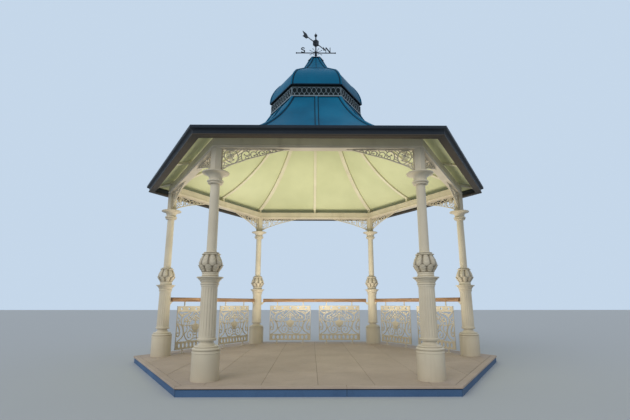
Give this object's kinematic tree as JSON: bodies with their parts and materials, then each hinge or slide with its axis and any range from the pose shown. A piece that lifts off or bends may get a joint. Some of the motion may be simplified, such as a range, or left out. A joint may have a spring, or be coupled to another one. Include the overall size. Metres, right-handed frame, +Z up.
{
  "type": "bandstand",
  "caption": "Hexagonal cast-iron bandstand on a low plinth, with fluted columns, lace brackets, scrolled railings, bell-cast roof, ogee cupola and weather vane.",
  "frame": {"origin": "on the ground, at the centre of the plinth's underside", "axes": "+Z up, -Y out of the open front bay, +X to the right seen from the front"},
  "size_m": [6.5224, 5.6486, 6.617],
  "materials": {
    "ironwork": "satin cream paint",
    "riser_stone": null,
    "paving_stone": null,
    "handrail_timber": "varnished hardwood",
    "roof_metal": "teal paint on sheet metal",
    "lining_boards": "pale green-cream paint",
    "gutter_metal": "near-black paint",
    "lantern_metal": "dark paint",
    "vane_metal": "dark blue-black paint"
  },
  "bodies": {
    "bandstand": {"plinth_riser": "riser_stone", "floor_paving": "paving_stone", "column_front_left": "ironwork", "column_front_right": "ironwork", "column_right": "ironwork", "column_back_right": "ironwork", "column_back_left": "ironwork", "column_left": "ironwork", "column_leaf_bulbs": "ironwork", "railing_back_left_1": "ironwork", "railing_back_left_2": "ironwork", "railing_back_1": "ironwork", "railing_back_2": "ironwork", "railing_back_right_1": "ironwork", "railing_back_right_2": "ironwork", "handrails": "handrail_timber", "handrail_brackets": "ironwork", "ring_beam_front": "ironwork", "ring_beam_front_right": "ironwork", "ring_beam_back_right": "ironwork", "ring_beam_back": "ironwork", "ring_beam_back_left": "ironwork", "ring_beam_front_left": "ironwork", "lace_brackets_front": "ironwork", "lace_brackets_front_right": "ironwork", "lace_brackets_back_right": "ironwork", "lace_brackets_back": "ironwork", "lace_brackets_back_left": "ironwork", "lace_brackets_front_left": "ironwork", "hip_rafters": "ironwork", "mid_rafters": "ironwork", "ceiling_lining": "lining_boards", "gutter": "gutter_metal", "roof_front": "roof_metal", "roof_front_right": "roof_metal", "roof_back_right": "roof_metal", "roof_back": "roof_metal", "roof_back_left": "roof_metal", "roof_front_left": "roof_metal", "roof_rolls": "roof_metal", "lantern_wall": "lantern_metal", "lantern_frieze": "ironwork", "cupola": "roof_metal", "cupola_rolls": "roof_metal", "vane_mast": "vane_metal", "vane_arms": "vane_metal"},
    "vane": {"vane_arrow": "vane_metal"}
  },
  "joints": [
    {"name": "vane_turn", "type": "hinge", "parent": "bandstand", "child": "vane", "pos_m": [0, 0, 6.363], "axis": [0, 0, 1], "continuous": true}
  ]
}
